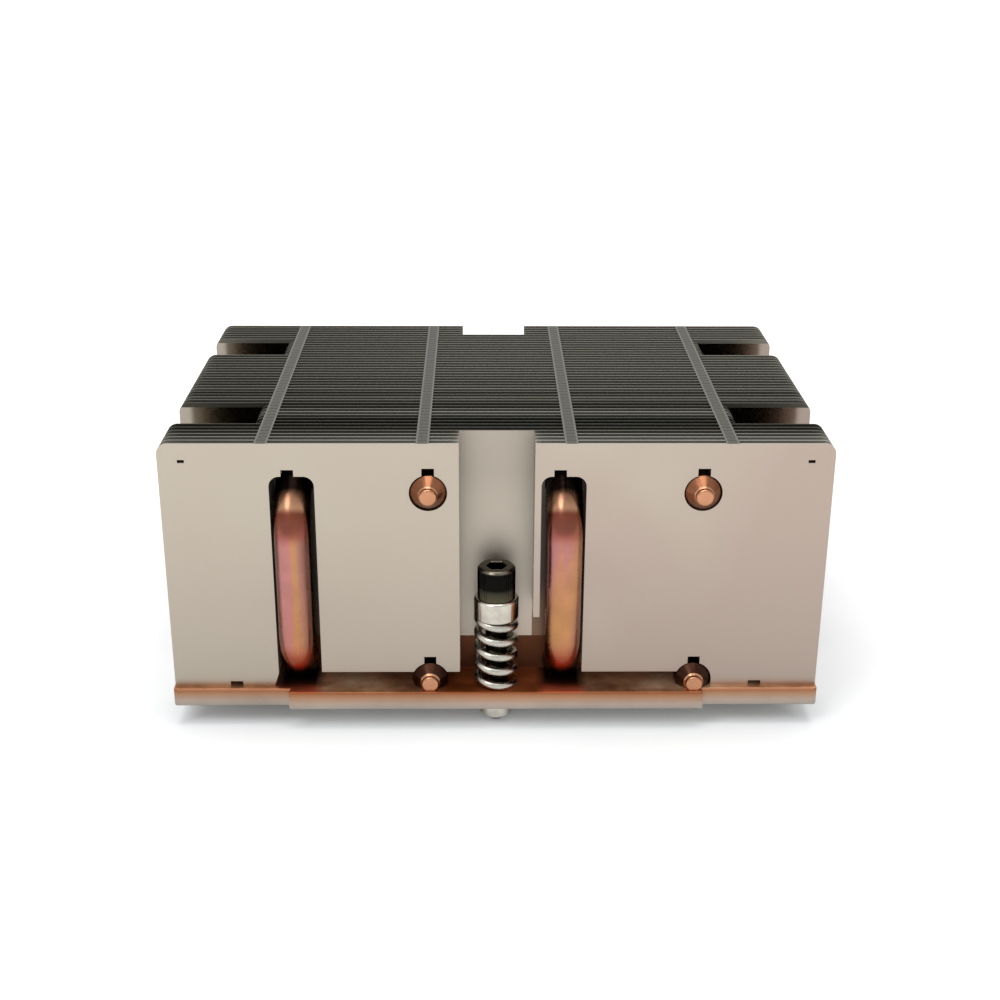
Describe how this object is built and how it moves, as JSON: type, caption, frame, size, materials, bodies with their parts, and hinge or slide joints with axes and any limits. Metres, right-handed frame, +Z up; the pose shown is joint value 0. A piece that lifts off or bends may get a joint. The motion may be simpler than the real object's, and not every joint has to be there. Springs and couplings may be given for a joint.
{
  "type": "passive server cpu heatsink",
  "caption": "Passive heatsink for a two-screw server processor socket: copper base plate and pipe block, C-shaped copper heat pipes, stacked thin metal fins, captive spring screws.",
  "frame": {"origin": "centre of the contact face, on the underside of the copper pedestal", "axes": "+X along the fins, +Y from the front notch to the rear notch, +Z up out of the contact face"},
  "size_m": [0.145, 0.1, 0.0672],
  "materials": {
    "copper_plate": "machined copper, lightly polished",
    "copper_tube": "polished drawn copper tube with faint heat tint",
    "fin_metal": "bright rolled sheet, mirror-like",
    "black_steel": "black oxide on steel, satin",
    "plated_steel": "bright nickel plating",
    "spring_steel": "bright plated spring wire"
  },
  "bodies": {
    "heatsink": {"base_plate": "copper_plate", "fin_01": "fin_metal", "fin_02": "fin_metal", "fin_03": "fin_metal", "fin_04": "fin_metal", "fin_05": "fin_metal", "fin_06": "fin_metal", "fin_07": "fin_metal", "fin_08": "fin_metal", "fin_09": "fin_metal", "fin_10": "fin_metal", "fin_11": "fin_metal", "fin_12": "fin_metal", "fin_13": "fin_metal", "fin_14": "fin_metal", "fin_15": "fin_metal", "fin_16": "fin_metal", "fin_17": "fin_metal", "fin_18": "fin_metal", "fin_19": "fin_metal", "fin_20": "fin_metal", "fin_21": "fin_metal", "fin_22": "fin_metal", "fin_23": "fin_metal", "fin_24": "fin_metal", "fin_25": "fin_metal", "fin_26": "fin_metal", "fin_27": "fin_metal", "fin_28": "fin_metal", "fin_29": "fin_metal", "fin_30": "fin_metal", "fin_31": "fin_metal", "fin_32": "fin_metal", "fin_33": "fin_metal", "fin_34": "fin_metal", "fin_35": "fin_metal", "fin_36": "fin_metal", "fin_37": "fin_metal", "fin_38": "fin_metal", "fin_39": "fin_metal", "fin_40": "fin_metal", "fin_41": "fin_metal", "fin_42": "fin_metal", "fin_43": "fin_metal", "fin_44": "fin_metal", "fin_45": "fin_metal", "front_bend_inner_pipe": "copper_tube", "front_bend_outer_pipe": "copper_tube", "front_spring": "spring_steel", "pipe_block": "copper_plate", "rear_bend_inner_pipe": "copper_tube", "rear_bend_outer_pipe": "copper_tube", "rear_spring": "spring_steel"},
    "front_collar": {"front_spring_collar": "plated_steel"},
    "front_screw": {"front_screw": "black_steel", "front_retainer": "plated_steel"},
    "rear_collar": {"rear_spring_collar": "plated_steel"},
    "rear_screw": {"rear_screw": "black_steel", "rear_retainer": "plated_steel"}
  },
  "joints": [
    {"name": "front_screw_press", "type": "slide", "parent": "heatsink", "child": "front_collar", "axis": [0, 0, -1], "range_m": [0, 0.004], "stiffness_N_per_m": 9000, "springref_m": -0.002, "deforming": ["front_spring"]},
    {"name": "front_screw_turn", "type": "hinge", "parent": "front_collar", "child": "front_screw", "pos_m": [0, -0.04445, 0.03], "axis": [0, 0, -1], "continuous": true},
    {"name": "rear_screw_press", "type": "slide", "parent": "heatsink", "child": "rear_collar", "axis": [0, 0, -1], "range_m": [0, 0.004], "stiffness_N_per_m": 9000, "springref_m": -0.002, "deforming": ["rear_spring"]},
    {"name": "rear_screw_turn", "type": "hinge", "parent": "rear_collar", "child": "rear_screw", "pos_m": [0, 0.04445, 0.03], "axis": [0, 0, -1], "continuous": true}
  ]
}
